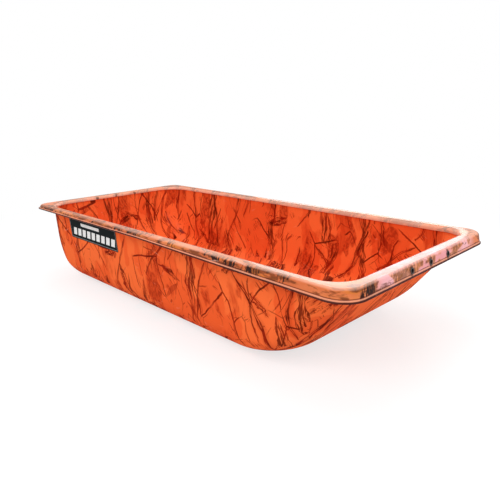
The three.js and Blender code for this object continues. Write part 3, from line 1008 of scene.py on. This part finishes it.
def lip_material():
    """Pale salmon plastic with brown smears, short marks and a dark streak at each tow eyelet, with a
    painted pink sheen across the bow, painted highlights on top and painted shade lines along the bead.
    """
    material, net, shader = new_material("printed_lip_plastic")
    place = net.place()
    ring = net.attribute("rim_ring")
    along = net.vector("MULTIPLY", ring, (0.3, 0.3, 1.0))
    bent = net.moved(along, net.noise_vector(ring, 20.0, 1.0), 0.012)

    tan = net.step(net.noise(bent, 26.0, 4.0, 0.6), 0.46, 0.58)
    brown = net.noise(net.vector("ADD", bent, (3.0, 1.0, 0.0)), 34.0, 4.0, 0.65)
    brown = net.step(brown, 0.515, 0.59)
    upright = net.noise(net.vector("MULTIPLY", ring, (1.0, 1.0, 0.22)), 150.0, 3.0, 0.65)
    spread = net.noise(ring, 15.0, 2.0)
    region = net.step(spread, 0.505, 0.54)
    twigs = cracks(net, net.vector("MULTIPLY", bent, (3.3, 3.3, 1.0)), *RIM_TWIGS)
    marks = net.times(net.larger(net.step(upright, 0.47, 0.51), twigs), region)

    # Tan along the sides and round the corners, a painted pink sheen across the bow, and a painted
    # highlight on top and on the inner leg
    forward, leftward, _ = net.split(place)
    normal = net.node("ShaderNodeNewGeometry").outputs["Normal"]
    _, _, upward = net.split(normal)
    outward = net.vector("DOT_PRODUCT", normal, net.vector("MULTIPLY", place, (1.0, 1.0, 0.0)))
    shades = net.step(net.noise(bent, 14.0, 3.0), 0.4, 0.6)
    base = net.mix(shades, "#de7d4c", "#cd673a")
    # Painted sheen: the pink across the bow stands in for the glossy lip's reflection
    bow_sheen = net.mix(shades, "#f5b9c0", "#ec9fa3")
    between = net.step(net.math("ABSOLUTE", leftward), 0.19, 0.245, 1.0, 0.0)
    at_bow = net.times(net.step(forward, 0.6, 0.66), between)
    base = net.mix(net.times(at_bow, 0.92), base, bow_sheen)
    base = net.tint(base, tan, 0.65, "#d07629")
    base = net.tint(base, brown, 0.85, "#6f3413")
    base = net.tint(base, net.times(at_bow, net.step(spread, 0.49, 0.52)), 0.75, "#dd8850")
    base = net.tint(base, marks, net.linear(at_bow, -0.45, 1.0), "#2a0e05")
    # Painted highlight: paler on faces that look up, more so towards the bow, and on the inner leg's
    # faces that look inward
    highlight_variation = net.step(net.noise(bent, 30.0, 3.0), 0.35, 0.65, 0.75, 1.0)
    painted_highlight = net.times(net.step(upward, 0.3, 1.0), net.step(forward, -0.5, 0.4, 0.2, 0.58))
    painted_highlight = net.larger(painted_highlight, net.step(outward, -0.2, -0.05, 0.65, 0.0))
    pale = net.mix(at_bow, "#fac2aa", "#fcc6c4")
    base = net.mix(net.times(painted_highlight, highlight_variation), base, pale)

    # The bead: a painted highlight along it, a painted shade line in the groove above it and a painted
    # shadow line along its foot
    _, _, over = net.split(ring)
    base = net.tint(base, net.band(over, (0.006, 0.007), (0.009, 0.0105)), 0.75, "#f5a583")
    groove_shade = net.band(over, (0.0092, 0.0102), (0.0112, 0.0124))
    base = net.tint(base, groove_shade, net.step(forward, -0.25, 0.15, 0.0, 0.75), "#5c1a0a")
    # Painted shadow: a dark line along the bead's foot
    base = net.mix(net.step(over, 0.0055, 0.0067, 0.97, 0.0), base, "#3f0a03")

    # A dark upright streak round each tow eyelet
    wobble = net.linear(net.noise(place, 130.0, 3.0), 0.012, -0.006)
    for spot in TOW_FRAMES:
        away = net.vector("SUBTRACT", place, tuple(spot.translation * MM))
        _, across, up = net.split(away)
        across = net.math("ABSOLUTE", net.math("ADD", across, wobble))
        eyelet_streak = net.step(across, 0.004, 0.0065, 1.0, 0.0)
        eyelet_streak = net.times(eyelet_streak, net.band(up, (-0.014, -0.008), (0.008, 0.014)))
        base = net.tint(base, eyelet_streak, 0.75, "#4f2a1f")
    scratches = worn_marks(net, place)
    base = net.tint(base, scratches, 0.25, "#ffd7c6")

    gloss = net.linear(net.noise(place, 70.0, 3.0), 0.2, 0.2)
    gloss = net.linear(scratches, 0.2, gloss)
    net.fill(shader, Base_Color=base, Roughness=gloss, Specular_IOR_Level=0.0)
    net.fill(shader, Coat_Weight=0.32, Coat_Roughness=0.12)
    peel = net.times(net.noise(place, 300.0, 2.0), 0.05)
    bump(net, shader, net.math("ADD", net.noise(ring, 14.0, 1.0), peel), 0.6, 0.0012)
    return material


def metal_material():
    """Black painted metal with a few chips."""
    material, net, shader = new_material("painted_eyelet_metal")
    place = net.place()
    chips = net.noise(place, 700.0, 4.0, 0.7)
    worn = net.step(chips, 0.6, 0.66)
    base = net.mix(net.noise(place, 350.0, 2.0), "#1f1a19", "#332a27")
    base = net.tint(base, worn, 0.8, "#8a7f78")
    net.fill(shader, Base_Color=base, Metallic=net.times(worn, 0.9))
    net.fill(shader, Roughness=net.linear(chips, 0.3, 0.28))
    bump(net, shader, net.math("SUBTRACT", chips, worn), 0.4, 0.0002)
    return material


# The label's print in metres. The places, along and up, are those of the row of blocks and the bar
LINE_INSETS = (0.003, 0.004)
BLOCK_LEAN = 0.28
BLOCK_PITCH = 0.031
BLOCK_HALF = 0.0108
BLOCK_SOFTNESS = 0.0006
ROW_PLACE = (0.004, -0.009)
ROW_END_GAP = 0.014
ROW_HALF = 0.0125
BAR_PLACE = (-0.012, 0.0185)
BAR_HALVES = (0.061, 0.0052)
EDGE_SOFTNESS = 0.0004


def label_material(side):
    """Black film with a thin pale line round it, a row of leaning blocks and a bar above them."""
    material, net, shader = new_material("label_film_" + ("left" if side > 0 else "right"))
    place = net.place()
    x, _, z = net.split(place)
    middle = TUB_HEIGHT - LABEL_DROP - LABEL_HEIGHT / 2 * math.cos(SIDE_DRAFT) + RUNNER_DEPTH
    centre = LABEL_STERN_GAP + LABEL_LENGTH / 2 - SLED_LENGTH / 2
    along = net.times(net.math("SUBTRACT", x, centre * MM), -side)
    up = net.math("DIVIDE", net.math("SUBTRACT", z, middle * MM), math.cos(SIDE_DRAFT))

    def within(value, half, soft=EDGE_SOFTNESS):
        return net.step(net.math("ABSOLUTE", value), half - soft, half + soft, 1.0, 0.0)

    def slab(shift, half_along, half_up):
        first = within(net.math("SUBTRACT", along, shift[0]), half_along)
        return net.times(first, within(net.math("SUBTRACT", up, shift[1]), half_up))

    half_length = LABEL_LENGTH / 2 * MM
    half_height = LABEL_HEIGHT / 2 * MM
    outer, inner = (slab((0.0, 0.0), half_length - gap, half_height - gap) for gap in LINE_INSETS)
    line = net.math("SUBTRACT", outer, inner)
    leaning = net.linear(up, -BLOCK_LEAN, along)
    turn = net.math("MODULO", net.math("ADD", leaning, 1.0), BLOCK_PITCH)
    blocks = within(net.math("SUBTRACT", turn, BLOCK_PITCH / 2), BLOCK_HALF, BLOCK_SOFTNESS)
    row = slab(ROW_PLACE, half_length - ROW_END_GAP, ROW_HALF)
    ink = net.larger(net.times(blocks, row), slab(BAR_PLACE, *BAR_HALVES))
    ink = net.larger(ink, net.times(line, 0.5))
    rub = net.step(net.noise(place, 420.0, 4.0, 0.7), 0.34, 0.44)
    ink = net.times(ink, net.linear(rub, 0.3, 0.7))

    film = net.mix(net.noise(place, 90.0, 3.0), "#071011", "#0e1a1b")
    film = net.tint(film, worn_marks(net, place), 0.35, "#6a6b70")
    gloss = net.linear(net.noise(place, 150.0, 3.0), 0.2, 0.3)
    net.fill(shader, Base_Color=net.mix(ink, film, "#e6e8e6"), Roughness=gloss)
    net.fill(shader, Specular_IOR_Level=0.0, Coat_Weight=0.1, Coat_Roughness=0.3)
    bump(net, shader, net.math("ADD", net.noise(place, 500.0, 2.0), ink), 0.2, 0.0001)
    return material


def wear(obj, material):
    obj.data.materials.clear()
    obj.data.materials.append(material)


# Camera

camera = linked("camera", bpy.data.cameras.new("camera"))
camera.data.sensor_width = CAMERA_SENSOR
camera.data.lens = CAMERA_LENS
camera.data.clip_end = 50
axes = Matrix((CAMERA_RIGHT, CAMERA_UP, CAMERA_BACK)).transposed()
camera.matrix_world = Matrix.Translation(CAMERA_PLACE) @ axes.to_4x4()
scene.camera = camera

# The sled

tub = make_tub()
wear(tub, tub_material())
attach(tub, "root")
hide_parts("hull_tub")

lip = make_lip()
wear(lip, lip_material())
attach(lip, "root")
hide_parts("rim_lip")

metal = metal_material()
for side, place in zip(TOW_NAMES, TOW_FRAMES):
    eyelet = make_eyelet(side, place)
    washer = make_washer(side, place)
    for piece, node in ((eyelet, f"tow_eyelet_{side}"), (washer, f"tow_eyelet_washer_{side}")):
        wear(piece, metal)
        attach(piece, "root")
        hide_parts(node)

for side, node in ((-1, "side_label_right"), (1, "side_label_left")):
    film = label_material(side)
    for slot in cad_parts[node].material_slots:
        slot.material = film

# Floor, light and background

FLOOR_RADIUS = 4000
FLOOR_SIDES = 96
FLOOR_DROP = 0.5
FLOOR_GREY = (0.8, 0.8, 0.8, 1.0)
WHITE = (1.0, 1.0, 1.0, 1.0)

# The floor as it is seen: grey with a glow, which turns to white between two distances
SEEN_GREY = (0.34, 0.34, 0.34, 1.0)
SEEN_GLOW = 0.7
SEEN_FADE = (0.9, 1.9)

# The world's strength for the object, and what is added where it is seen
WORLD_LIGHT = 0.55
WORLD_SEEN = 0.45


def seen(net):
    """1 for rays from the camera, off gloss and through clear surfaces, which see white."""
    path = net.node("ShaderNodeLightPath")
    direct = net.larger(path.outputs["Is Camera Ray"], path.outputs["Is Glossy Ray"])
    return net.larger(direct, path.outputs["Is Transmission Ray"])


def paint_floor():
    """A grey that lights the object, and white with the object's shadow where it is seen."""
    paint = bpy.data.materials.new("floor_paint")
    paint.use_nodes = True
    net = Net(paint.node_tree)
    net.tree.nodes.clear()

    def shader(kind, *values):
        return net.node(kind, *values).outputs[0]

    paper = shader("ShaderNodeBsdfDiffuse", FLOOR_GREY)
    thin_paper = shader("ShaderNodeBsdfDiffuse", SEEN_GREY)
    lit = shader("ShaderNodeAddShader", thin_paper, shader("ShaderNodeEmission", WHITE, SEEN_GLOW))
    far = net.step(net.vector("LENGTH", net.place()), *SEEN_FADE)
    shown = shader("ShaderNodeMixShader", far, lit, shader("ShaderNodeEmission", WHITE, 1.0))
    net.node("ShaderNodeOutputMaterial", shader("ShaderNodeMixShader", seen(net), paper, shown))
    return paint


turns = [2 * math.pi * step / FLOOR_SIDES for step in range(FLOOR_SIDES)]
ring = [(FLOOR_RADIUS * math.cos(turn), FLOOR_RADIUS * math.sin(turn), 0) for turn in turns]
floor_disc = new_object("floor", ring, [list(range(FLOOR_SIDES))])
floor_disc.location.z = -FLOOR_DROP * MM
wear(floor_disc, paint_floor())

world = bpy.data.worlds.new("studio")
scene.world = world
world.use_nodes = True
net = Net(world.node_tree)
backdrop = world.node_tree.nodes["Background"]
strength = net.linear(seen(net), WORLD_SEEN, WORLD_LIGHT)
net.fill(backdrop, Color=WHITE, Strength=strength)


def add_panel(name, place, aim, width, height, power):
    """A soft lamp at a place, turned to an aim. Sizes in metres, power in watts."""
    light = bpy.data.lights.new(name, "AREA")
    light.shape = "RECTANGLE"
    light.size = width
    light.size_y = height
    light.energy = power
    panel = linked(name, light)
    panel.location = place
    panel.rotation_euler = (Vector(place) - Vector(aim)).to_track_quat("Z", "Y").to_euler()
    panel.visible_camera = False


add_panel("key", (0.55, -2.5, 2.35), (0.0, 0.0, 0.15), 2.4, 1.8, 49)
add_panel("fill", (2.9, 0.3, 1.5), (0.2, 0.0, 0.15), 2.0, 1.6, 22)
add_panel("overhead", (-0.2, 0.2, 2.8), (0.0, 0.0, 0.1), 2.6, 1.6, 22)
add_panel("back", (-1.3, 2.7, 1.35), (0.2, 0.0, 0.25), 1.9, 1.3, 35)

scene.view_settings.view_transform = "Standard"
